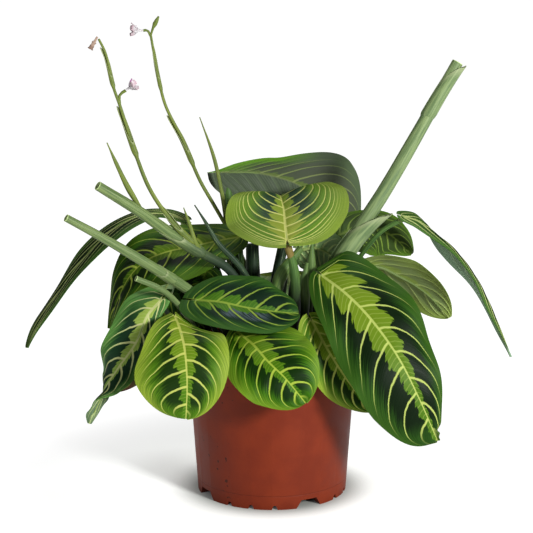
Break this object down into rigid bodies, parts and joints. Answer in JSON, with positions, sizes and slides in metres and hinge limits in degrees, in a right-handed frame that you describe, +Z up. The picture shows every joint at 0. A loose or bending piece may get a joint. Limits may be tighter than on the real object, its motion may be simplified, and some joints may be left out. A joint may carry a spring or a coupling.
{
  "type": "potted prayer plant",
  "caption": "Prayer plant with broad patterned leaves on thin stalks, cut old stems and small flower shoots, standing in soil in a round plastic nursery pot.",
  "frame": {"origin": "middle of the pot's foot, on the surface that the pot stands on", "axes": "+Z up along the pot's axis, -Y towards the front of the plant, +X towards its right as seen from the front"},
  "size_m": [0.3471, 0.198, 0.3313],
  "materials": {
    "pot": "matte",
    "soil": "matte",
    "leaf": "satin",
    "leaf_dark": "satin",
    "stem": "satin",
    "flower": "matte",
    "withered": "matte"
  },
  "bodies": {
    "root": {"pot": "pot", "soil": "soil", "leaf_front_right": "leaf", "leaf_front_left": "leaf", "leaf_front_middle": "leaf", "leaf_across": "leaf_dark", "leaf_heart": "leaf", "leaf_crown": "leaf_dark", "leaf_far_left": "leaf", "leaf_left_wide": "leaf", "leaf_left_low": "leaf", "leaf_left_hidden": "leaf_dark", "leaf_right_back": "leaf_dark", "leaf_right_under": "leaf", "leaf_far_right": "leaf", "leaf_right_low": "leaf", "leaf_shaded_right": "leaf_dark", "leaf_shaded_left": "leaf_dark", "leaf_back_right": "leaf", "leaf_back_middle": "leaf", "leaf_back_left": "leaf", "cut_stem_right": "stem", "cut_stem_left": "stem", "flowering_shoot_left": "stem", "cut_stem_left_short": "stem", "flower_stalk_back": "stem", "rolled_leaf_left": "stem", "rolled_leaf_back": "stem", "rolled_leaf_right": "stem", "sheath_right": "stem", "sheath_middle": "stem", "bare_stalk_left": "stem", "bare_stalk_right": "stem", "flower_left": "flower", "flower_back": "flower", "flower_withered": "withered"}
  },
  "joints": []
}
